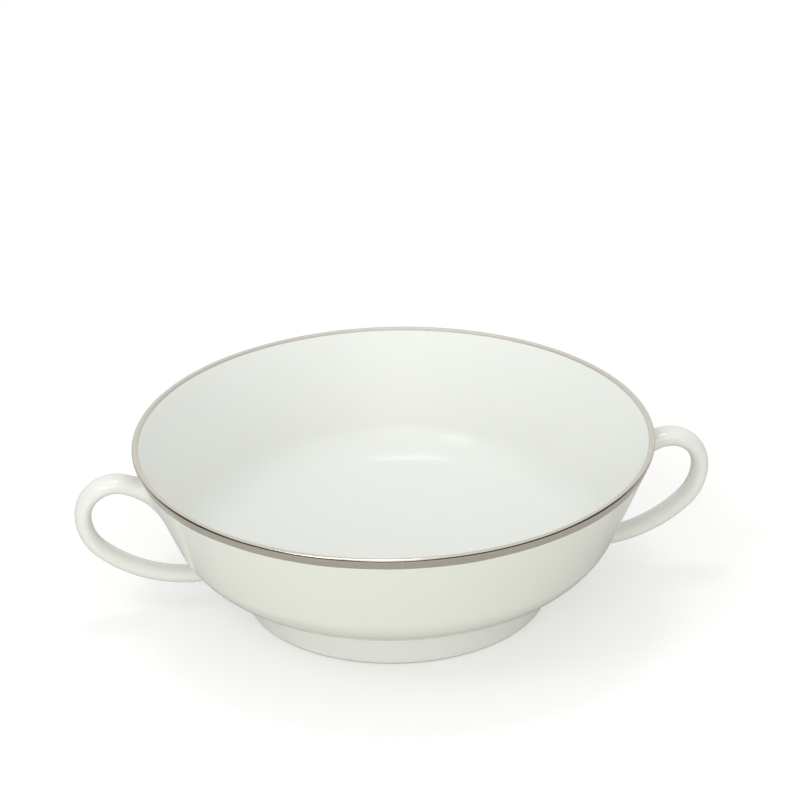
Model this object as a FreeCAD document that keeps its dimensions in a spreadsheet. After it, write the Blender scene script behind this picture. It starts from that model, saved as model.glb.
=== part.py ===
import FreeCAD, Part
import math
import os
import Sketcher
from FreeCAD import Vector

os.makedirs("parts", exist_ok=True)

doc = FreeCAD.newDocument("BouillonCup")

# Driving dimensions in millimetres and degrees
dimensions = [
    ("rimRadius", 60.0),
    ("cupHeight", 40.2),
    ("flareAngle", 66.7),
    ("lipWidth", 1.45),
    ("lipOuterRound", 0.5),
    ("lipInnerRound", 0.55),
    ("shoulderRadius", 15.8),
    ("shoulderWall", 2.4),
    ("wallTaper", 2.7),
    ("bellyRadius", 150.0),
    ("bellyHeight", 4.2),
    ("floorThickness", 2.7),
    ("footInset", 7.7),
    ("footLean", 8.0),
    ("footFillet", 1.5),
    ("footEdge", 0.8),
    ("footWidth", 4.2),
    ("recessLean", 10.0),
    ("recessFillet", 2.0),
    ("handleInset", 7.5),
    ("handleDrop", 10.55),
    ("handleRise", 24.0),
    ("handleClearance", 9.4),
    ("handleOffset", 11.5),
    ("bowShare", 0.375),
    ("sideShare", 0.593),
    ("runShare", 1.58),
    ("heelShare", 0.445),
    ("heelSweep", 65.0),
    ("rootWidth", 22.0),
    ("rootThickness", 6.6),
    ("neckWidth", 11.8),
    ("neckThickness", 5.2),
    ("throatWidth", 7.8),
    ("throatThickness", 4.2),
    ("upperWidth", 6.8),
    ("upperThickness", 4.1),
    ("lowerWidth", 5.8),
    ("lowerThickness", 3.3),
    ("rootFillet", 1.2),
    ("heelFillet", 2.4),
]

sizes = doc.addObject("Spreadsheet::Sheet", "Sizes")
for row, (name, value) in enumerate(dimensions, start=1):
    sizes.set(f"A{row}", name)
    sizes.set(f"B{row}", str(value))
    sizes.setAlias(f"B{row}", name)
doc.recompute()


def size(name):
    return float(sizes.get(name))


def slope(name):
    return math.radians(size(name))


def along(point, angle, length):
    return Vector(point.x + length * math.cos(angle), point.y + length * math.sin(angle), 0)


def addSketch(body, name, role):
    sketch = body.newObject("Sketcher::SketchObject", name)
    plane = next(f for f in body.Origin.OriginFeatures if f.Role == role)
    sketch.AttachmentSupport = [(plane, "")]
    sketch.MapMode = "FlatFace"
    return sketch


def addLine(sketch, start, end):
    return sketch.addGeometry(Part.LineSegment(start, end))


def addArc(sketch, centre, radius, first, last):
    circle = Part.Circle(centre, Vector(0, 0, 1), radius)
    return sketch.addGeometry(Part.ArcOfCircle(circle, first, last))


def bind(sketch, expression, kind, *where):
    # a driving constraint whose value comes from the sheet
    index = sketch.addConstraint(Sketcher.Constraint(kind, *where))
    sketch.setExpression(f"Constraints[{index}]", expression)
    return index


def fix(sketch, kind, *where):
    return sketch.addConstraint(Sketcher.Constraint(kind, *where))


# The ends and centres that sketch constraints speak of, then the upright axis and the origin
start, end, centre = range(1, 4)
axis, origin = -2, -1

body = doc.addObject("PartDesign::Body", "BouillonCup")
body.Label = "bouillon_cup"
body.Placement = FreeCAD.Placement()

bellyCentre = Vector(0, size("bellyHeight") + size("bellyRadius"), 0)
centreHeight = "Sizes.bellyHeight + Sizes.bellyRadius"

# The foot stands inside the wall's line drawn down to the table, and the handles follow the foot and the rim
footRadius = size("rimRadius") - size("cupHeight") / math.tan(slope("flareAngle")) - size("footInset")
footPlace = "(Sizes.rimRadius - Sizes.cupHeight / tan(Sizes.flareAngle * 1 deg) - Sizes.footInset)"
loopHeight = size("cupHeight") - size("handleDrop") - size("handleClearance")
loopShare = "(Sizes.cupHeight - Sizes.handleDrop - Sizes.handleClearance)"


def turnFromBelly(point):
    away = point - bellyCentre
    return math.atan2(away.y, away.x)


# How far it is from a point, straight on at an angle, to where a circle is left
def reach(point, angle, circleCentre, radius):
    away = point - circleCentre
    run = away.x * math.cos(angle) + away.y * math.sin(angle)
    return math.sqrt(run ** 2 - away.Length ** 2 + radius ** 2) - run


# Centre of the arc that joins a wall, leaning at an angle through a point, to a circle about the belly's centre
def roundBetween(wallPoint, angle, radius, circleRadius):
    beside = along(wallPoint, angle + math.pi / 2, radius)
    return along(beside, angle, -reach(beside, angle + math.pi, bellyCentre, circleRadius - radius))


# The outside, turned about the upright axis: foot, belly, shoulder, flaring wall and lip.
# The seam of the turned faces falls at the side where no handle is.
def drawOutside():
    sketch = addSketch(body, "OutsideSketch", "YZ_Plane")
    lean, flare = slope("footLean"), slope("flareAngle")
    edge, lip = size("footEdge"), size("lipOuterRound")
    edgeCentre = Vector(footRadius - edge, edge, 0)
    lipCentre = Vector(size("rimRadius") - lip, size("cupHeight") - lip, 0)
    lipFoot = along(lipCentre, flare - math.pi / 2, lip)
    faceFoot = along(edgeCentre, lean, edge)
    inset = size("shoulderRadius")
    shoulderCentre = roundBetween(lipFoot, flare, inset, size("bellyRadius"))
    shoulderTurn = turnFromBelly(shoulderCentre)
    wallFoot = along(shoulderCentre, flare - math.pi / 2, inset)
    fillet = size("footFillet")
    faceTop = along(faceFoot, lean + math.pi / 2, size("bellyHeight"))
    filletCentre = along(faceTop, lean, fillet)
    filletTurn = turnFromBelly(filletCentre)
    crown = Vector(0, size("cupHeight"), 0)
    base = addLine(sketch, Vector(), Vector(edgeCentre.x, 0, 0))
    toe = addArc(sketch, edgeCentre, edge, -math.pi / 2, lean)
    face = addLine(sketch, faceFoot, faceTop)
    neck = addArc(sketch, filletCentre, fillet, filletTurn + math.pi, lean + math.pi)
    belly = addArc(sketch, bellyCentre, size("bellyRadius"), filletTurn, shoulderTurn)
    shoulder = addArc(sketch, shoulderCentre, inset, shoulderTurn, flare - math.pi / 2)
    wall = addLine(sketch, wallFoot, lipFoot)
    lipArc = addArc(sketch, lipCentre, lip, flare - math.pi / 2, math.pi / 2)
    top = addLine(sketch, Vector(lipCentre.x, crown.y, 0), crown)
    spindle = addLine(sketch, crown, Vector())
    fix(sketch, "Coincident", base, start, origin, start)
    fix(sketch, "Coincident", spindle, end, origin, start)
    fix(sketch, "Coincident", top, end, spindle, start)
    fix(sketch, "Horizontal", base)
    fix(sketch, "Horizontal", top)
    fix(sketch, "Vertical", spindle)
    fix(sketch, "Tangent", base, end, toe, start)
    fix(sketch, "Tangent", toe, end, face, start)
    fix(sketch, "Tangent", face, end, neck, end)
    fix(sketch, "Tangent", neck, start, belly, start)
    fix(sketch, "Tangent", belly, end, shoulder, start)
    fix(sketch, "Tangent", shoulder, end, wall, start)
    fix(sketch, "Tangent", wall, end, lipArc, start)
    fix(sketch, "Tangent", lipArc, end, top, start)
    fix(sketch, "PointOnObject", belly, centre, axis)
    bind(sketch, "Sizes.footEdge", "Radius", toe, edge)
    bind(sketch, f"{footPlace} - Sizes.footEdge", "DistanceX", origin, start, toe, centre, edgeCentre.x)
    bind(sketch, "90 deg + Sizes.footLean * 1 deg", "Angle", face, lean + math.pi / 2)
    bind(sketch, "Sizes.footFillet", "Radius", neck, fillet)
    bind(sketch, "Sizes.bellyRadius", "Radius", belly, size("bellyRadius"))
    bind(sketch, centreHeight, "DistanceY", origin, start, belly, centre, bellyCentre.y)
    bind(sketch, "Sizes.shoulderRadius", "Radius", shoulder, inset)
    bind(sketch, "Sizes.flareAngle * 1 deg", "Angle", wall, flare)
    bind(sketch, "Sizes.lipOuterRound", "Radius", lipArc, lip)
    bind(sketch, "Sizes.rimRadius - Sizes.lipOuterRound", "DistanceX", origin, start, lipArc, centre, lipCentre.x)
    bind(sketch, "Sizes.cupHeight", "DistanceY", origin, start, top, start, crown.y)
    return sketch


outsideSketch = drawOutside()
outside = body.newObject("PartDesign::Revolution", "Outside")
outside.Profile = outsideSketch
outside.ReferenceAxis = (outsideSketch, ["V_Axis"])
outside.Angle = 360
doc.recompute()


# One handle follows a loop of arcs from under the rim round to the belly, its radii shares of the loop's height.
# Both ends run into the solid bowl; the groove for the inside trims them later.
def drawLoop():
    sketch = addSketch(body, "LoopSketch", "XZ_Plane")
    rise, sweep = slope("handleRise"), slope("heelSweep")
    bow, side = size("bowShare") * loopHeight, size("sideShare") * loopHeight
    run, heel = size("runShare") * loopHeight, size("heelShare") * loopHeight
    root = Vector(size("rimRadius") - size("handleInset"), size("cupHeight") - size("handleDrop"), 0)
    lowest = Vector(footRadius + size("handleOffset"), size("handleClearance"), 0)
    runCentre = Vector(lowest.x, lowest.y + run, 0)
    heelCentre = Vector(lowest.x, lowest.y + heel, 0)
    beside = along(root, rise - math.pi / 2, bow) + Vector(bow - side, 0, 0)
    length = reach(beside, rise, runCentre, run - side)
    sideCentre = along(beside, rise, length)
    bowCentre = sideCentre + Vector(side - bow, 0, 0)
    runTurn = math.asin((runCentre.y - sideCentre.y) / (run - side))
    rootLine = addLine(sketch, root, along(root, rise, length))
    bowArc = addArc(sketch, bowCentre, bow, 0, math.pi / 2 + rise)
    sideArc = addArc(sketch, sideCentre, side, -runTurn, 0)
    runArc = addArc(sketch, runCentre, run, -math.pi / 2, -runTurn)
    heelArc = addArc(sketch, heelCentre, heel, -math.pi / 2 - sweep, -math.pi / 2)
    heelReach = heel * math.sin(sweep)
    fix(sketch, "Tangent", rootLine, end, bowArc, end)
    fix(sketch, "Tangent", bowArc, start, sideArc, end)
    fix(sketch, "Tangent", sideArc, start, runArc, end)
    fix(sketch, "Tangent", runArc, start, heelArc, end)
    fix(sketch, "Horizontal", bowArc, centre, bowArc, start)
    fix(sketch, "Vertical", runArc, centre, runArc, start)
    bind(sketch, "Sizes.rimRadius - Sizes.handleInset", "DistanceX", origin, start, rootLine, start, root.x)
    bind(sketch, "Sizes.cupHeight - Sizes.handleDrop", "DistanceY", origin, start, rootLine, start, root.y)
    bind(sketch, "Sizes.handleRise * 1 deg", "Angle", rootLine, rise)
    bind(sketch, f"Sizes.bowShare * {loopShare}", "Radius", bowArc, bow)
    bind(sketch, f"Sizes.sideShare * {loopShare}", "Radius", sideArc, side)
    bind(sketch, f"Sizes.runShare * {loopShare}", "Radius", runArc, run)
    bind(sketch, f"Sizes.heelShare * {loopShare}", "Radius", heelArc, heel)
    bind(sketch, f"{footPlace} + Sizes.handleOffset", "DistanceX", origin, start, runArc, start, lowest.x)
    bind(sketch, "Sizes.handleClearance", "DistanceY", origin, start, runArc, start, lowest.y)
    heelPlace = f"Sizes.heelShare * {loopShare} * sin(Sizes.heelSweep * 1 deg)"
    bind(sketch, heelPlace, "DistanceX", heelArc, start, heelArc, end, heelReach)
    return sketch


def drawOval(name, edge, place, width, thickness):
    # a section square to the path; the two sizes are expressions on the sheet
    sketch = body.newObject("Sketcher::SketchObject", name)
    sketch.AttachmentSupport = [(loopSketch, edge)]
    sketch.MapMode = "NormalToEdge"
    sketch.MapPathParameter = place
    across, through = Vector(size("upperWidth"), 0, 0), Vector(0, size("lowerThickness"), 0)
    oval = sketch.addGeometry(Part.Ellipse(across, through, Vector()))
    sketch.exposeInternalGeometry(oval)
    longAxis, shortAxis = oval + 1, oval + 2
    fix(sketch, "Coincident", oval, centre, origin, start)
    fix(sketch, "Horizontal", longAxis)
    bind(sketch, width, "Distance", longAxis, 2 * across.Length)
    bind(sketch, thickness, "Distance", shortAxis, 2 * through.Length)
    return sketch


loopSketch = drawLoop()
doc.recompute()
rootOval = drawOval("RootOval", "Edge1", 0.0, "Sizes.rootWidth", "Sizes.rootThickness")
neckOval = drawOval("NeckOval", "Edge1", 0.4, "Sizes.neckWidth", "Sizes.neckThickness")
throatOval = drawOval("ThroatOval", "Edge1", 0.7, "Sizes.throatWidth", "Sizes.throatThickness")
upperOval = drawOval("UpperOval", "Edge1", 1.0, "Sizes.upperWidth", "Sizes.upperThickness")
lowerOval = drawOval("LowerOval", "Edge5", 0.0, "Sizes.lowerWidth", "Sizes.lowerThickness")
strap = body.newObject("PartDesign::AdditivePipe", "Strap")
strap.Profile = upperOval
strap.Spine = (loopSketch, ["Edge2", "Edge3", "Edge4", "Edge5"])
strap.Sections = [lowerOval]
strap.Transformation = "Multisection"

# Under the rim the strap spreads like a trumpet to meet the wall
spread = body.newObject("PartDesign::AdditiveLoft", "Spread")
spread.Profile = rootOval
spread.Sections = [neckOval, throatOval, upperOval]

# Its twin on the other side
handles = body.newObject("PartDesign::Mirrored", "Handles")
handles.Originals = [strap, spread]
handles.MirrorPlane = (next(f for f in body.Origin.OriginFeatures if f.Role == "YZ_Plane"), [""])
body.Tip = handles
doc.recompute()


# The joints of strap and bowl are sponged smooth: tight under the rim, softer at the belly
def rootEdges(shape, lowest, highest):
    found = []
    for number, edge in enumerate(shape.Edges, start=1):
        kinds = {type(face.Surface).__name__ for face in shape.ancestorsOfType(edge, Part.Face)}
        inReach = lowest < edge.CenterOfGravity.z < highest
        if "BSplineSurface" in kinds and len(kinds) > 1 and inReach:
            found.append(f"Edge{number}")
    return found


def softenRoots(name, base, radius, lowest, highest):
    fillet = body.newObject("PartDesign::Fillet", name)
    fillet.Base = (base, rootEdges(base.Shape, lowest, highest))
    fillet.setExpression("Radius", f"Sizes.{radius}")
    body.Tip = fillet
    doc.recompute()
    return fillet


middle = size("cupHeight") / 2
heels = softenRoots("Heels", handles, "heelFillet", 0, middle)
roots = softenRoots("Roots", heels, "rootFillet", middle, size("cupHeight"))


# The inside, turned out of the solid: one even wall that thickens a little towards the shoulder
def drawInside():
    sketch = addSketch(body, "InsideSketch", "YZ_Plane")
    lip = size("lipInnerRound")
    flare = slope("flareAngle") - slope("wallTaper")
    inset = size("shoulderRadius") - size("shoulderWall")
    bowl = size("bellyRadius") - size("floorThickness")
    crown = Vector(0, size("cupHeight"), 0)
    lipCentre = Vector(size("rimRadius") - size("lipWidth") + lip, crown.y - lip, 0)
    lipFoot = along(lipCentre, flare + math.pi / 2, lip)
    shoulderCentre = roundBetween(lipFoot, flare, inset, bowl)
    shoulderTurn = turnFromBelly(shoulderCentre)
    wallFoot = along(shoulderCentre, flare - math.pi / 2, inset)
    top = addLine(sketch, crown, Vector(lipCentre.x, crown.y, 0))
    lipArc = addArc(sketch, lipCentre, lip, math.pi / 2, flare + math.pi / 2)
    wall = addLine(sketch, lipFoot, wallFoot)
    shoulder = addArc(sketch, shoulderCentre, inset, shoulderTurn, flare - math.pi / 2)
    floor = addArc(sketch, bellyCentre, bowl, -math.pi / 2, shoulderTurn)
    spindle = addLine(sketch, Vector(0, bellyCentre.y - bowl, 0), crown)
    fix(sketch, "Coincident", floor, start, spindle, start)
    fix(sketch, "Coincident", spindle, end, top, start)
    fix(sketch, "Horizontal", top)
    fix(sketch, "Vertical", spindle)
    fix(sketch, "PointOnObject", spindle, start, axis)
    fix(sketch, "Tangent", top, end, lipArc, start)
    fix(sketch, "Tangent", lipArc, end, wall, start)
    fix(sketch, "Tangent", wall, end, shoulder, end)
    fix(sketch, "Tangent", shoulder, start, floor, end)
    fix(sketch, "PointOnObject", floor, centre, axis)
    lipPlace = "Sizes.rimRadius - Sizes.lipWidth + Sizes.lipInnerRound"
    bind(sketch, "Sizes.lipInnerRound", "Radius", lipArc, lip)
    bind(sketch, lipPlace, "DistanceX", origin, start, lipArc, centre, lipCentre.x)
    bind(sketch, "Sizes.cupHeight", "DistanceY", origin, start, top, start, crown.y)
    bind(sketch, "180 deg + (Sizes.flareAngle - Sizes.wallTaper) * 1 deg", "Angle", wall, flare + math.pi)
    bind(sketch, "Sizes.shoulderRadius - Sizes.shoulderWall", "Radius", shoulder, inset)
    bind(sketch, "Sizes.bellyRadius - Sizes.floorThickness", "Radius", floor, bowl)
    bind(sketch, centreHeight, "DistanceY", origin, start, floor, centre, bellyCentre.y)
    return sketch


# The hollow under the floor that leaves a foot ring to stand on
def drawRecess():
    sketch = addSketch(body, "RecessSketch", "YZ_Plane")
    edge, fillet, lean = size("footEdge"), size("recessFillet"), slope("recessLean")
    edgeCentre = Vector(footRadius - size("footWidth") + edge, edge, 0)
    faceFoot = along(edgeCentre, lean + math.pi, edge)
    faceTop = along(faceFoot, lean + math.pi / 2, size("bellyHeight") - fillet)
    filletCentre = along(faceTop, lean + math.pi, fillet)
    filletTurn = turnFromBelly(filletCentre)
    crown = Vector(0, size("bellyHeight"), 0)
    base = addLine(sketch, Vector(), Vector(edgeCentre.x, 0, 0))
    toe = addArc(sketch, edgeCentre, edge, lean + math.pi, 3 * math.pi / 2)
    face = addLine(sketch, faceFoot, faceTop)
    neck = addArc(sketch, filletCentre, fillet, lean, filletTurn + math.pi)
    ceiling = addArc(sketch, bellyCentre, size("bellyRadius"), -math.pi / 2, filletTurn)
    spindle = addLine(sketch, crown, Vector())
    fix(sketch, "Coincident", base, start, origin, start)
    fix(sketch, "Coincident", spindle, end, origin, start)
    fix(sketch, "Coincident", ceiling, start, spindle, start)
    fix(sketch, "Horizontal", base)
    fix(sketch, "Vertical", spindle)
    fix(sketch, "Tangent", base, end, toe, end)
    fix(sketch, "Tangent", toe, start, face, start)
    fix(sketch, "Tangent", face, end, neck, start)
    fix(sketch, "Tangent", neck, end, ceiling, end)
    fix(sketch, "PointOnObject", ceiling, centre, axis)
    edgePlace = f"{footPlace} - Sizes.footWidth + Sizes.footEdge"
    bind(sketch, "Sizes.footEdge", "Radius", toe, edge)
    bind(sketch, edgePlace, "DistanceX", origin, start, toe, centre, edgeCentre.x)
    bind(sketch, "90 deg + Sizes.recessLean * 1 deg", "Angle", face, lean + math.pi / 2)
    bind(sketch, "Sizes.recessFillet", "Radius", neck, fillet)
    bind(sketch, "Sizes.bellyRadius", "Radius", ceiling, size("bellyRadius"))
    bind(sketch, centreHeight, "DistanceY", origin, start, ceiling, centre, bellyCentre.y)
    return sketch


def turnOut(name, sketch):
    groove = body.newObject("PartDesign::Groove", name)
    groove.Profile = sketch
    groove.ReferenceAxis = (sketch, ["V_Axis"])
    groove.Angle = 360
    body.Tip = groove
    return groove


inside = turnOut("Inside", drawInside())
recess = turnOut("Recess", drawRecess())
doc.recompute()

for item in doc.Objects:
    if "Invalid" in item.State or "Error" in item.State:
        raise RuntimeError(f"{item.Name} didn't build: {item.State}")
shape = body.Shape
if shape.isNull() or not shape.isValid() or len(shape.Solids) != 1:
    raise RuntimeError("the cup isn't one sound solid")
if not recess.Shape.Volume < inside.Shape.Volume < roots.Shape.Volume:
    raise RuntimeError("a groove took nothing away")
shape.exportStep(f"parts/{body.Label}.step")
print(f"{body.Label}: {shape.Volume / 1000:.1f} cm3, box {shape.optimalBoundingBox(False)}")
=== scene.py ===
import math

import bmesh
import bpy
from mathutils import Matrix, Vector, noise
from mathutils.bvhtree import BVHTree


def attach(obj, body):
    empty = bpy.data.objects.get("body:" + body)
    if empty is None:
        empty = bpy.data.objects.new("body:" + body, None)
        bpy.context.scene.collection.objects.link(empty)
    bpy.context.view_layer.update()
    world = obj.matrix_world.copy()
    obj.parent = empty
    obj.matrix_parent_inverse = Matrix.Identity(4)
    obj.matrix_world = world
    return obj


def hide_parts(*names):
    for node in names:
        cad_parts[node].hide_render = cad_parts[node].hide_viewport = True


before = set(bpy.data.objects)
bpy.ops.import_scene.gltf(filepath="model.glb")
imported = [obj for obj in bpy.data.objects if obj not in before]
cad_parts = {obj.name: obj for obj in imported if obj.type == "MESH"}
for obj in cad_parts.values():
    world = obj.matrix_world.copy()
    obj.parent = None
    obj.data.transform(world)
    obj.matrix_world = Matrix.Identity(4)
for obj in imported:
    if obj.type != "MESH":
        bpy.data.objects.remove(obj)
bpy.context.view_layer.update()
print("frame loaded")

mm = 0.001                 # the pieces are drawn in millimetres and scaled once
sharpAngle = 50            # an edge that bends more than this, in degrees, stays crisp
mergeDistance = 0.001
lipFlare = 66.7            # slope of the outer wall, in degrees


def degrees(angle):
    return math.radians(angle)


# adds a material and fills in sockets of its shader, named with _ for a space
def newMaterial(name, **values):
    material = bpy.data.materials.new(name)
    material.use_nodes = True
    shader = material.node_tree.nodes["Principled BSDF"]
    for socket, value in values.items():
        shader.inputs[socket.replace("_", " ")].default_value = value
    return material, material.node_tree, shader


def addNode(tree, kind, place, **settings):
    node = tree.nodes.new(kind)
    node.location = place
    for key, value in settings.items():
        setattr(node, key, value)
    return node


# the film lies on melted glaze, which is never quite flat: slow waves with a finer ripple on top
def makeGlazeWaves():
    group = bpy.data.node_groups.new("glazeWaves", "ShaderNodeTree")
    face = group.interface
    face.new_socket("Wave Scale", in_out="INPUT", socket_type="NodeSocketFloat")
    face.new_socket("Ripple Scale", in_out="INPUT", socket_type="NodeSocketFloat")
    face.new_socket("Ripple Share", in_out="INPUT", socket_type="NodeSocketFloat")
    face.new_socket("Height", in_out="OUTPUT", socket_type="NodeSocketFloat")
    start = addNode(group, "NodeGroupInput", (-700, 0))
    end = addNode(group, "NodeGroupOutput", (300, 0))
    place = addNode(group, "ShaderNodeTexCoord", (-700, 200))
    wave = addNode(group, "ShaderNodeTexNoise", (-450, 200))
    wave.inputs["Detail"].default_value = 1.0
    ripple = addNode(group, "ShaderNodeTexNoise", (-450, -100))
    ripple.inputs["Detail"].default_value = 2.0
    blend = addNode(group, "ShaderNodeMath", (0, 0), operation="MULTIPLY_ADD")
    group.links.new(place.outputs["Object"], wave.inputs["Vector"])
    group.links.new(place.outputs["Object"], ripple.inputs["Vector"])
    group.links.new(start.outputs["Wave Scale"], wave.inputs["Scale"])
    group.links.new(start.outputs["Ripple Scale"], ripple.inputs["Scale"])
    group.links.new(ripple.outputs["Fac"], blend.inputs[0])
    group.links.new(start.outputs["Ripple Share"], blend.inputs[1])
    group.links.new(wave.outputs["Fac"], blend.inputs[2])
    group.links.new(blend.outputs[0], end.inputs["Height"])
    return group


def bendSkin(tree, shader, group, waveScale, rippleScale, share, depth):
    skin = addNode(tree, "ShaderNodeGroup", (-700, -300), node_tree=group)
    skin.inputs["Wave Scale"].default_value = waveScale
    skin.inputs["Ripple Scale"].default_value = rippleScale
    skin.inputs["Ripple Share"].default_value = share
    bump = addNode(tree, "ShaderNodeBump", (-400, -300))
    bump.inputs["Strength"].default_value = 1.0
    bump.inputs["Distance"].default_value = depth
    tree.links.new(skin.outputs["Height"], bump.inputs["Height"])
    tree.links.new(bump.outputs["Normal"], shader.inputs["Normal"])


# the turned bowl
cup = {
    # corners of the half section: radius, height, the round that joins the two sides, steps in it
    "section": [
        (0.0, 4.2, 0, 0),
        (13.9539, 4.2, 150.0, 8),
        (29.6557, 7.1468, 2.0, 8),
        (30.9159, 0.0, 0.8, 6),
        (35.1074, 0.0, 0.8, 6),
        (33.9703, 8.0909, 1.5, 8),
        (38.0816, 9.0861, 150.0, 4),
        (48.0783, 11.915, 15.8, 18),
        (60.2597, 40.2, 0.68, 8),
        (58.7563, 40.2, 0.55, 8),
        (46.0542, 14.1568, 13.4, 16),
        (20.5415, 6.9, 147.3, 24),
        (0.0, 6.9, 0, 0),
    ],
    "cornerMerge": 0.01,   # rounds that meet end to end share their last point
    "turnSteps": 128,      # in half a turn
    "gridStep": 1.5,       # longest edge along the section
}


def drawSection(bm, corners):
    verts = [bm.verts.new((radius, 0, height)) for radius, height, _, _ in corners]
    for first, second in zip(verts, verts[1:]):
        bm.edges.new((first, second))
    for vert, (_, _, rounding, steps) in zip(verts, corners):
        if not rounding:
            continue
        before, after = [edge.other_vert(vert).co - vert.co for edge in vert.link_edges]
        turn = math.pi - before.angle(after)
        bmesh.ops.bevel(bm, geom=[vert], offset=rounding * math.tan(turn / 2), segments=steps,
                        offset_type="OFFSET", profile=0.5, affect="VERTICES", material=-1,
                        clamp_overlap=False)
    bmesh.ops.remove_doubles(bm, verts=bm.verts, dist=cup["cornerMerge"])


def divideLongEdges(bm, longest):
    for edge in list(bm.edges):
        pieces = math.ceil(edge.calc_length() / longest)
        if pieces > 1:
            bmesh.ops.subdivide_edges(bm, edges=[edge], cuts=pieces - 1)


def turnHalfBowl():
    bm = bmesh.new()
    drawSection(bm, cup["section"])
    divideLongEdges(bm, cup["gridStep"])
    bmesh.ops.rotate(bm, verts=bm.verts, cent=(0, 0, 0),
                     matrix=Matrix.Rotation(-math.pi / 2, 3, "Z"))
    bmesh.ops.spin(bm, geom=bm.verts[:] + bm.edges[:], cent=(0, 0, 0), axis=(0, 0, 1),
                   angle=math.pi, steps=cup["turnSteps"], use_merge=False)
    bmesh.ops.remove_doubles(bm, verts=bm.verts, dist=mergeDistance)
    bmesh.ops.recalc_face_normals(bm, faces=bm.faces)
    return bm


# the strap handle
handle = {
    "root": (52.5, 29.65),     # where the loop's line starts, inside the wall
    "rise": 24.0,              # the line's slope
    "line": 9.597,
    # radius and sweep of each arc after the line
    "arcs": [(7.594, 114.0), (12.008, 47.69), (31.995, 42.31), (9.011, 60.0)],
    "upperSize": (6.8, 4.1),   # width and thickness
    "lowerSize": (5.7, 3.3),
    # the roots' own rings start this far after the line's end and before the loop's end
    "upperSpread": 3.0,
    "lowerSpread": 9.0,
    "ringStep": 0.85,
    "ringPoints": 48,
    "leadRings": 3,            # between the strap and a root's fillet
    "rootRings": 12,
    "skinMargin": 0.35,        # the bowl's skin opens this much wider than the root
    "skinReach": 18.0,         # and nowhere farther than this from the root's middle
}

# how far each root's fillet runs along the strap and out over the bowl:
# at the strap's sides, inside the loop, outside it
rootShape = {
    "upper": {"along": (5.8, 6.0, 2.2), "out": (5.4, 6.6, 1.2)},
    "lower": {"along": (2.8, 2.2, 3.2), "out": (2.4, 2.4, 2.4)},
}


def loopLength():
    return handle["line"] + sum(radius * degrees(sweep) for radius, sweep in handle["arcs"])


# point on the loop and its heading, in the upright plane through the handle
def alongLoop(distance):
    x, z = handle["root"]
    heading = degrees(handle["rise"])
    step = min(distance, handle["line"])
    x, z = x + step * math.cos(heading), z + step * math.sin(heading)
    distance -= step
    for radius, sweep in handle["arcs"]:
        if distance <= 0:
            break
        turn = min(distance / radius, degrees(sweep))
        x += radius * (math.sin(heading) - math.sin(heading - turn))
        z += radius * (math.cos(heading - turn) - math.cos(heading))
        heading -= turn
        distance -= turn * radius
    return x, z, heading


# point on the strap's skin: angle 0 is the side, 90 degrees the outside of the loop
def onStrap(distance, angle):
    x, z, heading = alongLoop(distance)
    share = max(0, distance - handle["line"]) / (loopLength() - handle["line"])
    width, thickness = [upper + (lower - upper) * share
                        for upper, lower in zip(handle["upperSize"], handle["lowerSize"])]
    lift = thickness / 2 * math.sin(angle)
    return Vector((x - lift * math.sin(heading), width / 2 * math.cos(angle),
                   z + lift * math.cos(heading)))


# blends a root's three values round the strap
def byAngle(values, angle):
    atSides, atInside, atOutside = values
    flat = atOutside if math.sin(angle) > 0 else atInside
    return atSides * math.cos(angle) ** 2 + flat * math.sin(angle) ** 2


# where one line of the strap's skin goes into the bowl, found by halving
def meetBowl(bowl, angle, outDistance, inDistance):
    for _ in range(40):
        middle = (outDistance + inDistance) / 2
        point = onStrap(middle, angle)
        near, normal, _, _ = bowl.find_nearest(point)
        if (point - near).dot(normal) > 0:
            outDistance = middle
        else:
            inDistance = middle
    return inDistance


# one line of a root: along the strap, then a fillet that leaves it and lies down on the bowl
def rootLine(bowl, angle, shape, start, inDistance):
    sign = 1 if inDistance > start else -1
    meeting = meetBowl(bowl, angle, start, inDistance)
    leave = meeting - sign * byAngle(shape["along"], angle)
    corner = onStrap(meeting, angle)
    inwards = (corner - onStrap(meeting - sign * 0.01, angle)).normalized()
    _, normal, _, _ = bowl.find_nearest(corner)
    across = corner - onStrap(meeting, angle + math.pi)
    outwards = (across - across.dot(normal) * normal).normalized()
    landing, normal, _, _ = bowl.find_nearest(corner + outwards * byAngle(shape["out"], angle))
    corner += inwards * ((landing - corner).dot(normal) / inwards.dot(normal))
    points = []
    for step in range(1, handle["leadRings"] + 1):
        points.append(onStrap(start + (leave - start) * step / (handle["leadRings"] + 1), angle))
    first = onStrap(leave, angle)
    for step in range(handle["rootRings"] + 1):
        share = step / handle["rootRings"]
        points.append(first.lerp(corner, share).lerp(corner.lerp(landing, share), share))
    return points


def addRing(bm, points):
    ring = bmesh.ops.create_circle(bm, cap_ends=False, segments=len(points), radius=1)["verts"]
    for vert, point in zip(ring, points):
        vert.co = point
    return ring, list({edge for vert in ring for edge in vert.link_edges})


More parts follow.
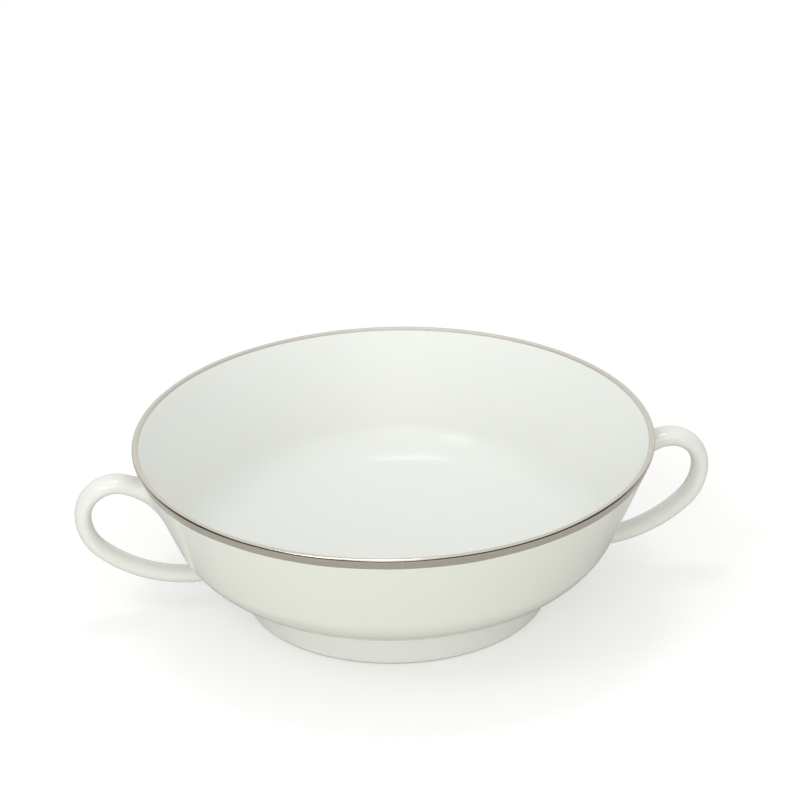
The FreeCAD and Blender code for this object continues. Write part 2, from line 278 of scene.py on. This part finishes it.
def sweepHandle(bowl):
    bm = bmesh.new()
    count = handle["ringPoints"]
    angles = [2 * math.pi * index / count for index in range(count)]
    first, last = handle["line"] + handle["upperSpread"], loopLength() - handle["lowerSpread"]
    upper = [rootLine(bowl, angle, rootShape["upper"], first, 0) for angle in angles]
    lower = [rootLine(bowl, angle, rootShape["lower"], last, loopLength()) for angle in angles]
    strapSteps = round((last - first) / handle["ringStep"])
    rings = [[line[row] for line in upper] for row in reversed(range(len(upper[0])))]
    rings += [[onStrap(first + (last - first) * step / strapSteps, angle) for angle in angles]
              for step in range(strapSteps + 1)]
    rings += [[line[row] for line in lower] for row in range(len(lower[0]))]
    made = [addRing(bm, points) for points in rings]
    for (_, before), (_, after) in zip(made, made[1:]):
        bmesh.ops.bridge_loops(bm, edges=before + after)
    return bm, rings[0], rings[-1]


# opens the bowl's skin a little outside a root's last ring, so that the two can be joined
def openSkin(bm, ring):
    centre = sum(ring, Vector()) / len(ring)
    normal = sum(((a - centre).cross(b - centre) for a, b in zip(ring, ring[1:])), Vector())
    normal.normalize()
    if normal.dot(centre) < 0:
        normal.negate()
    side = Vector((0, 1, 0))
    up = normal.cross(side).normalized()

    def polar(point):
        away = point - centre
        return math.atan2(away.dot(up), away.dot(side)), math.hypot(away.dot(up), away.dot(side))

    turn = 2 * math.pi
    outline = sorted(polar(point) for point in ring)
    firstAngle, firstRadius = outline[0]
    lastAngle, lastRadius = outline[-1]
    outline = [(lastAngle - turn, lastRadius), *outline, (firstAngle + turn, firstRadius)]

    def reach(angle):
        for (a, first), (b, second) in zip(outline, outline[1:]):
            if a <= angle <= b:
                return first + (second - first) * (angle - a) / max(b - a, 1e-9)
        return lastRadius

    # faces on the wall's inner side look the other way
    def isUnderRoot(face):
        away = (face.calc_center_median() - centre).length
        if away > handle["skinReach"] or face.normal.dot(normal) < 0.3:
            return False
        corners = [polar(vert.co) for vert in face.verts]
        return any(reach(angle) + handle["skinMargin"] > radius for angle, radius in corners)

    covered = {face for face in bm.faces if isUnderRoot(face)}
    rim = [edge for edge in bm.edges
           if 0 < sum(face in covered for face in edge.link_faces) < len(edge.link_faces)]
    bmesh.ops.delete(bm, geom=list(covered), context="FACES")
    return rim


def joinHandle(bm):
    # the strap meets the outer side only
    outer = bm.copy()
    facingIn = [face for face in outer.faces
                if face.normal.dot(Vector((*face.calc_center_median().xy, 0)).normalized()) < 0.1]
    bmesh.ops.delete(outer, geom=facingIn, context="FACES")
    bowl = BVHTree.FromBMesh(outer)
    outer.free()
    strap, upperRing, lowerRing = sweepHandle(bowl)
    carrier = bpy.data.meshes.new("carrier")
    strap.to_mesh(carrier)
    strap.free()
    rims = [openSkin(bm, ring) for ring in (upperRing, lowerRing)]
    known = set(bm.edges)
    bm.from_mesh(carrier)
    bpy.data.meshes.remove(carrier)
    openEdges = [edge for edge in bm.edges if edge not in known and edge.is_boundary]
    split = (upperRing[0].z + lowerRing[0].z) / 2
    for rim, isUpper in zip(rims, (True, False)):
        ring = [edge for edge in openEdges if (edge.verts[0].co.z > split) == isUpper]
        bmesh.ops.bridge_loops(bm, edges=rim + ring)


# no fired wall is quite true: slow waves bend what the glaze mirrors, but not the resting ring
waves = {
    "depth": 0.04,
    "length": 20.0,
    "groundHeight": 0.3,   # no waves up to here, and they grow to the full depth over the fade
    "groundFade": 3.0,
}


def waver(bm):
    bm.normal_update()
    for vert in bm.verts:
        share = min(1, max(0, vert.co.z - waves["groundHeight"]) / waves["groundFade"])
        vert.co += vert.normal * share * waves["depth"] * noise.noise(vert.co / waves["length"])


# the bowl's inner side: a floor that rises with the square of the radius, and a straight wall
inner = {
    "floorHeight": 5.6,
    "floorRise": 1 / 297,
    "wallRadius": 46.9,    # at the height below
    "wallHeight": 14.16,
    "wallFlare": 0.476,    # radius gained for each millimetre of height
}


# 1 inside the bowl, where spoons have worn the glaze, and 0 elsewhere
def markInside(bm):
    inside = bm.verts.layers.float.new("inside")
    for vert in bm.verts:
        radius = math.hypot(vert.co.x, vert.co.y)
        floor = inner["floorHeight"] + inner["floorRise"] * radius ** 2
        wall = inner["wallRadius"] + inner["wallFlare"] * (vert.co.z - inner["wallHeight"])
        vert[inside] = float(vert.co.z > floor and radius < wall)


def finishPiece(bm, name):
    bmesh.ops.scale(bm, vec=(mm, mm, mm), verts=bm.verts)
    for face in bm.faces:
        face.smooth = True
    for edge in bm.edges:
        edge.smooth = edge.calc_face_angle(0) < degrees(sharpAngle)
    mesh = bpy.data.meshes.new(name)
    bm.to_mesh(mesh)
    bm.free()
    piece = bpy.data.objects.new(name, mesh)
    bpy.context.scene.collection.objects.link(piece)
    print(name, len(mesh.polygons), "faces")
    return piece


def makeCup():
    bm = turnHalfBowl()
    joinHandle(bm)
    bmesh.ops.mirror(bm, geom=bm.verts[:] + bm.edges[:] + bm.faces[:], axis="X",
                     merge_dist=mergeDistance)
    bmesh.ops.remove_doubles(bm, verts=bm.verts, dist=mergeDistance)
    bmesh.ops.recalc_face_normals(bm, faces=bm.faces)
    waver(bm)
    markInside(bm)
    return finishPiece(bm, "porcelainCup")


porcelainCup = makeCup()

# the metal film at the lip
band = {
    "film": 0.02,
    "section": [
        (59.183, 37.64, 0, 0),
        (60.2860, 40.225, 0.70, 10),
        (58.7650, 40.225, 0.57, 8),
        (58.4900, 39.66, 0, 0),
    ],
    "gridStep": 0.8,
    "turnSteps": 256,
    "brushedBelow": 38.0,  # height that parts the brushed edge from the edge inside the lip
    "wobble": 0.07,        # how far the brushed edge strays
    # share, waves in a turn, start
    "strayWaves": [(1.0, 5, 0.4), (0.7, 11, 2.1), (0.4, 23, 0.0)],
}


def makeBand():
    bm = bmesh.new()
    drawSection(bm, band["section"])
    divideLongEdges(bm, band["gridStep"])
    bmesh.ops.spin(bm, geom=bm.verts[:] + bm.edges[:], cent=(0, 0, 0), axis=(0, 0, 1),
                   angle=2 * math.pi, steps=band["turnSteps"], use_merge=True)
    bmesh.ops.recalc_face_normals(bm, faces=bm.faces)
    brushed = [vert for vert in bm.verts if vert.is_boundary and vert.co.z < band["brushedBelow"]]
    for vert in brushed:
        turn = math.atan2(vert.co.y, vert.co.x)
        stray = sum(share * math.sin(count * turn + start)
                    for share, count, start in band["strayWaves"])
        out = Vector((vert.co.x, vert.co.y, 0)).normalized()
        vert.co += (out / math.tan(degrees(lipFlare)) + Vector((0, 0, 1))) * band["wobble"] * stray
    waver(bm)
    bmesh.ops.solidify(bm, geom=bm.faces[:], thickness=band["film"])
    bmesh.ops.recalc_face_normals(bm, faces=bm.faces)
    return finishPiece(bm, "lipBand")


lipBand = makeBand()

# lengths here are in metres
finish = {
    "glaze": (0.825, 0.842, 0.80, 1),
    "glazeRoughness": 0.07,
    "glazeIndex": 1.52,
    "bisque": (0.62, 0.60, 0.54, 1),
    "bisqueRoughness": 0.75,
    "bisqueHeight": 0.00035,
    "wornRoughness": 0.42,
    "wornShine": 0.25,             # the share of clear glaze left inside
    "shineRoughness": 0.05,
    "film": (0.60, 0.56, 0.495, 1),
    "thinFilm": (0.59, 0.56, 0.50, 1),
    "thinInside": 0.0591,          # the film is thin at a smaller radius
    "filmMetallic": (1.0, 0.25),   # whole film, thin film
    "filmRoughness": (0.2, 0.4),
    "filmWaves": {"waveScale": 60, "rippleScale": 500, "share": 0.25, "depth": 0.00008},
    "softEdge": 0.0001,            # width of the change from one finish to the next
}


def makeGlazedPorcelain():
    material, tree, shader = newMaterial("glazedPorcelain", IOR=finish["glazeIndex"],
                                         Coat_Roughness=finish["shineRoughness"])
    # the glaze is wiped off the foot's resting ring
    place = addNode(tree, "ShaderNodeTexCoord", (-1100, 200))
    split = addNode(tree, "ShaderNodeSeparateXYZ", (-900, 200))
    bare = addNode(tree, "ShaderNodeMapRange", (-700, 200))
    bare.inputs["From Min"].default_value = finish["bisqueHeight"] + finish["softEdge"]
    bare.inputs["From Max"].default_value = finish["bisqueHeight"]
    tint = addNode(tree, "ShaderNodeMix", (-400, 200), data_type="RGBA")
    tint.inputs["A"].default_value = finish["glaze"]
    tint.inputs["B"].default_value = finish["bisque"]
    rough = addNode(tree, "ShaderNodeMapRange", (-400, 0))
    rough.inputs["To Max"].default_value = finish["bisqueRoughness"]
    # inside it is worn dull, with a share of it still clear
    worn = addNode(tree, "ShaderNodeAttribute", (-1100, -200), attribute_name="inside")
    dull = addNode(tree, "ShaderNodeMapRange", (-700, -100))
    dull.inputs["To Min"].default_value = finish["glazeRoughness"]
    dull.inputs["To Max"].default_value = finish["wornRoughness"]
    shine = addNode(tree, "ShaderNodeMath", (-400, -300), operation="MULTIPLY")
    shine.inputs[1].default_value = finish["wornShine"]
    tree.links.new(worn.outputs["Fac"], dull.inputs["Value"])
    tree.links.new(dull.outputs["Result"], rough.inputs["To Min"])
    tree.links.new(worn.outputs["Fac"], shine.inputs[0])
    tree.links.new(shine.outputs[0], shader.inputs["Coat Weight"])
    tree.links.new(place.outputs["Object"], split.inputs["Vector"])
    tree.links.new(split.outputs["Z"], bare.inputs["Value"])
    tree.links.new(bare.outputs["Result"], tint.inputs["Factor"])
    tree.links.new(bare.outputs["Result"], rough.inputs["Value"])
    tree.links.new(tint.outputs["Result"], shader.inputs["Base Color"])
    tree.links.new(rough.outputs["Result"], shader.inputs["Roughness"])
    return material


def makePlatinumFilm():
    material, tree, shader = newMaterial("platinumFilm")
    # inside the lip the film is thin, and the pale body shows through
    place = addNode(tree, "ShaderNodeTexCoord", (-1100, 200))
    level = addNode(tree, "ShaderNodeVectorMath", (-900, 200), operation="MULTIPLY")
    level.inputs[1].default_value = (1, 1, 0)
    radius = addNode(tree, "ShaderNodeVectorMath", (-750, 200), operation="LENGTH")
    thin = addNode(tree, "ShaderNodeMapRange", (-600, 200))
    thin.inputs["From Min"].default_value = finish["thinInside"] + finish["softEdge"]
    thin.inputs["From Max"].default_value = finish["thinInside"] - finish["softEdge"]
    tint = addNode(tree, "ShaderNodeMix", (-350, 300), data_type="RGBA")
    tint.inputs["A"].default_value = finish["film"]
    tint.inputs["B"].default_value = finish["thinFilm"]
    tree.links.new(place.outputs["Object"], level.inputs[0])
    tree.links.new(level.outputs[0], radius.inputs[0])
    tree.links.new(radius.outputs["Value"], thin.inputs["Value"])
    tree.links.new(thin.outputs["Result"], tint.inputs["Factor"])
    tree.links.new(tint.outputs["Result"], shader.inputs["Base Color"])
    for socket, height in (("Metallic", 100), ("Roughness", -150)):
        value = addNode(tree, "ShaderNodeMapRange", (-350, height))
        whole, thinned = finish["film" + socket]
        value.inputs["To Min"].default_value = whole
        value.inputs["To Max"].default_value = thinned
        tree.links.new(thin.outputs["Result"], value.inputs["Value"])
        tree.links.new(value.outputs["Result"], shader.inputs[socket])
    bendSkin(tree, shader, makeGlazeWaves(), **finish["filmWaves"])
    return material


porcelainCup.data.materials.append(makeGlazedPorcelain())
lipBand.data.materials.append(makePlatinumFilm())
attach(porcelainCup, "root")
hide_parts("bouillon_cup")
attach(lipBand, "root")
print("finishes on")

# floor, light and camera
stage = {
    "floorSize": 6.0,
    "floorColor": (0.62, 0.62, 0.612, 1),      # as the camera and the mirroring metal see it
    "floorBounce": (0.68, 0.68, 0.61, 1),      # as it lights the porcelain
    "floorRoughness": 0.9,
    "floorLift": 0.43,     # glow for the camera alone, so that the floor looks pale
    "skyLight": 0.755,
    "skySeen": 1.0,
}


# 1 for a ray from the camera, or from it by way of a glossy surface
def seenRays(tree):
    path = addNode(tree, "ShaderNodeLightPath", (-700, 0))
    seen = addNode(tree, "ShaderNodeMath", (-500, 0), operation="MAXIMUM")
    tree.links.new(path.outputs["Is Camera Ray"], seen.inputs[0])
    tree.links.new(path.outputs["Is Glossy Ray"], seen.inputs[1])
    return seen


def makeFloor():
    bm = bmesh.new()
    bmesh.ops.create_grid(bm, x_segments=1, y_segments=1, size=stage["floorSize"] / 2)
    mesh = bpy.data.meshes.new("floor")
    bm.to_mesh(mesh)
    bm.free()
    floor = bpy.data.objects.new("floor", mesh)
    bpy.context.scene.collection.objects.link(floor)
    material, tree, shader = newMaterial("paleFloor", Roughness=stage["floorRoughness"],
                                         Specular_IOR_Level=0.0, Emission_Color=(1, 1, 1, 1))
    tint = addNode(tree, "ShaderNodeMix", (-300, 200), data_type="RGBA")
    tint.inputs["A"].default_value = stage["floorBounce"]
    tint.inputs["B"].default_value = stage["floorColor"]
    tree.links.new(seenRays(tree).outputs[0], tint.inputs["Factor"])
    tree.links.new(tint.outputs["Result"], shader.inputs["Base Color"])
    path = addNode(tree, "ShaderNodeLightPath", (-500, -300))
    lift = addNode(tree, "ShaderNodeMath", (-300, -300), operation="MULTIPLY")
    lift.inputs[1].default_value = stage["floorLift"]
    tree.links.new(path.outputs["Is Camera Ray"], lift.inputs[0])
    tree.links.new(lift.outputs[0], shader.inputs["Emission Strength"])
    floor.data.materials.append(material)


def makeWorld():
    world = bpy.data.worlds.new("studio")
    bpy.context.scene.world = world
    world.use_nodes = True
    tree = world.node_tree
    background = tree.nodes["Background"]
    background.inputs["Color"].default_value = (1, 1, 1, 1)
    level = addNode(tree, "ShaderNodeMapRange", (-250, 0))
    level.inputs["To Min"].default_value = stage["skyLight"]
    level.inputs["To Max"].default_value = stage["skySeen"]
    tree.links.new(seenRays(tree).outputs[0], level.inputs["Value"])
    tree.links.new(level.outputs["Result"], background.inputs["Strength"])


# place, size, watts, and whether the glaze mirrors the lamp: the wide panels only light it
lamps = {
    "sidePanel": ((-0.904, -1.291, 0.278), (1.0, 1.0), 4.8, False),
    "frontPanel": ((-0.133, -1.516, 0.494), (1.0, 1.0), 5.1, False),
    "ceilingLamp": ((-0.05, 0.24, 1.32), (0.36, 0.26), 1.75, True),
    "leftLamp": ((-0.665, -0.452, 1.098), (0.34, 0.26), 1.5, True),
    "rearGlint": ((0.14, 0.82, 1.035), (0.16, 0.02), 0.012, True),
    "rearStreak": ((-0.332, 0.605, 1.121), (0.26, 0.03), 0.045, True),
}
lampAim = (0, 0, 0.02)

# a sheet seen only in reflections, for the band and glaze to mirror: painted dark shade and a
# painted highlight
reflectionOnlyScreen = {
    "radius": 1.7,
    "height": 2.3,
    "middle": -98.0,        # degrees, where the camera is
    "halfTurn": 145.0,
    "turnSteps": 58,
    "endFade": -0.3,        # cosine of the turn where the painted shade starts to thin out
    "topFade": (2.1, 1.5),  # heights where the painted shade is gone and where it is still whole
    "color": (0.02, 0.02, 0.02, 1),
    "paintedHighlightAt": (-0.345, -1.665, 1.85),
    "paintedHighlightReach": (0.85, 0.85, 0.8),
    "paintedHighlightCore": 0.3,      # the share of its reach that glows in full
    "paintedHighlightGlow": 3.4,
    "paintedHighlightColor": (1.0, 0.985, 0.94, 1),
}


def addLamp(name, at, size, power, mirrored):
    light = bpy.data.lights.new(name, "AREA")
    light.shape = "RECTANGLE"
    light.size, light.size_y = size
    light.energy = power
    lamp = bpy.data.objects.new(name, light)
    lamp.visible_camera = False
    lamp.visible_glossy = mirrored
    lamp.location = at
    lamp.rotation_euler = (Vector(lampAim) - lamp.location).to_track_quat("-Z", "Y").to_euler()
    bpy.context.scene.collection.objects.link(lamp)


# seen only in reflections: painted dark shade, with a soft pale glowing patch behind the camera
# that paints a highlight, thinning out upwards and towards the two ends
def makePaintedShadeAndHighlight():
    material, tree, shader = newMaterial("paintedShadeAndHighlight", Base_Color=reflectionOnlyScreen["color"], Roughness=1.0,
                                         Emission_Color=reflectionOnlyScreen["paintedHighlightColor"])
    place = addNode(tree, "ShaderNodeTexCoord", (-1100, 0))
    middle = degrees(reflectionOnlyScreen["middle"])
    towards = Vector((math.cos(middle), math.sin(middle), 0))
    facing = addNode(tree, "ShaderNodeVectorMath", (-900, -100), operation="DOT_PRODUCT")
    facing.inputs[1].default_value = towards / reflectionOnlyScreen["radius"]
    ends = addNode(tree, "ShaderNodeMapRange", (-700, -100), interpolation_type="SMOOTHSTEP")
    ends.inputs["From Min"].default_value = math.cos(degrees(reflectionOnlyScreen["halfTurn"]))
    ends.inputs["From Max"].default_value = reflectionOnlyScreen["endFade"]
    split = addNode(tree, "ShaderNodeSeparateXYZ", (-900, -400))
    top = addNode(tree, "ShaderNodeMapRange", (-700, -400), interpolation_type="SMOOTHSTEP")
    top.inputs["From Min"].default_value = reflectionOnlyScreen["topFade"][0]
    top.inputs["From Max"].default_value = reflectionOnlyScreen["topFade"][1]
    paintedShade = addNode(tree, "ShaderNodeMath", (-500, -200), operation="MULTIPLY")
    # a soft glowing patch behind the camera, seen only in reflections: a painted highlight on the
    # front of the lip and a soft glow on the far inner wall
    offset = addNode(tree, "ShaderNodeVectorMath", (-900, 250), operation="SUBTRACT")
    offset.inputs[1].default_value = reflectionOnlyScreen["paintedHighlightAt"]
    share = addNode(tree, "ShaderNodeVectorMath", (-750, 250), operation="DIVIDE")
    share.inputs[1].default_value = reflectionOnlyScreen["paintedHighlightReach"]
    away = addNode(tree, "ShaderNodeVectorMath", (-600, 250), operation="LENGTH")
    paintedHighlight = addNode(tree, "ShaderNodeMapRange", (-450, 250), interpolation_type="SMOOTHSTEP")
    paintedHighlight.inputs["From Min"].default_value = 1.0
    paintedHighlight.inputs["From Max"].default_value = reflectionOnlyScreen["paintedHighlightCore"]
    glow = addNode(tree, "ShaderNodeMath", (-250, 250), operation="MULTIPLY")
    glow.inputs[1].default_value = reflectionOnlyScreen["paintedHighlightGlow"]
    cover = addNode(tree, "ShaderNodeMath", (-250, -100), operation="MAXIMUM")
    tree.links.new(place.outputs["Object"], facing.inputs[0])
    tree.links.new(place.outputs["Object"], split.inputs[0])
    tree.links.new(place.outputs["Object"], offset.inputs[0])
    tree.links.new(facing.outputs["Value"], ends.inputs["Value"])
    tree.links.new(split.outputs["Z"], top.inputs["Value"])
    tree.links.new(ends.outputs["Result"], paintedShade.inputs[0])
    tree.links.new(top.outputs["Result"], paintedShade.inputs[1])
    tree.links.new(offset.outputs[0], share.inputs[0])
    tree.links.new(share.outputs[0], away.inputs[0])
    tree.links.new(away.outputs["Value"], paintedHighlight.inputs["Value"])
    tree.links.new(paintedHighlight.outputs["Result"], glow.inputs[0])
    tree.links.new(paintedHighlight.outputs["Result"], cover.inputs[0])
    tree.links.new(paintedShade.outputs[0], cover.inputs[1])
    tree.links.new(cover.outputs[0], shader.inputs["Alpha"])
    tree.links.new(glow.outputs[0], shader.inputs["Emission Strength"])
    return material


def addReflectionOnlyScreen():
    bm = bmesh.new()
    low = bm.verts.new((reflectionOnlyScreen["radius"], 0, 0))
    high = bm.verts.new((reflectionOnlyScreen["radius"], 0, reflectionOnlyScreen["height"]))
    bm.edges.new((low, high))
    start = degrees(reflectionOnlyScreen["middle"] - reflectionOnlyScreen["halfTurn"])
    bmesh.ops.rotate(bm, verts=bm.verts, cent=(0, 0, 0), matrix=Matrix.Rotation(start, 3, "Z"))
    bmesh.ops.spin(bm, geom=bm.verts[:] + bm.edges[:], cent=(0, 0, 0), axis=(0, 0, 1),
                   angle=degrees(2 * reflectionOnlyScreen["halfTurn"]), steps=reflectionOnlyScreen["turnSteps"],
                   use_merge=False)
    mesh = bpy.data.meshes.new("reflectionOnlyScreen")
    bm.to_mesh(mesh)
    bm.free()
    screen = bpy.data.objects.new("reflectionOnlyScreen", mesh)
    bpy.context.scene.collection.objects.link(screen)
    # only reflections see the screen, so it neither lights nor shades the cup: its dark paints
    # reflected shade and its glowing patch a reflected highlight
    screen.visible_camera = screen.visible_diffuse = screen.visible_shadow = False
    mesh.materials.append(makePaintedShadeAndHighlight())


view = {
    "aim": (0.00173, -0.00025, 0.0494),
    "distance": 0.8986,
    "turn": -8.12,         # degrees
    "height": 26.006,
    "roll": -1.28,
    "lens": 177.23,
    "sensor": 36,
}


def addCamera():
    data = bpy.data.cameras.new("camera")
    data.sensor_width = view["sensor"]
    data.lens = view["lens"]
    camera = bpy.data.objects.new("camera", data)
    facing = (Matrix.Rotation(degrees(view["turn"]), 4, "Z")
              @ Matrix.Rotation(degrees(90 - view["height"]), 4, "X")
              @ Matrix.Rotation(degrees(view["roll"]), 4, "Z"))
    back = facing @ Vector((0, 0, view["distance"]))
    camera.matrix_world = Matrix.Translation(Vector(view["aim"]) + back) @ facing
    bpy.context.scene.collection.objects.link(camera)
    bpy.context.scene.camera = camera


makeFloor()
makeWorld()
for name, lamp in lamps.items():
    addLamp(name, *lamp)
addReflectionOnlyScreen()
addCamera()
bpy.context.scene.view_settings.view_transform = "Standard"
print("stage set")
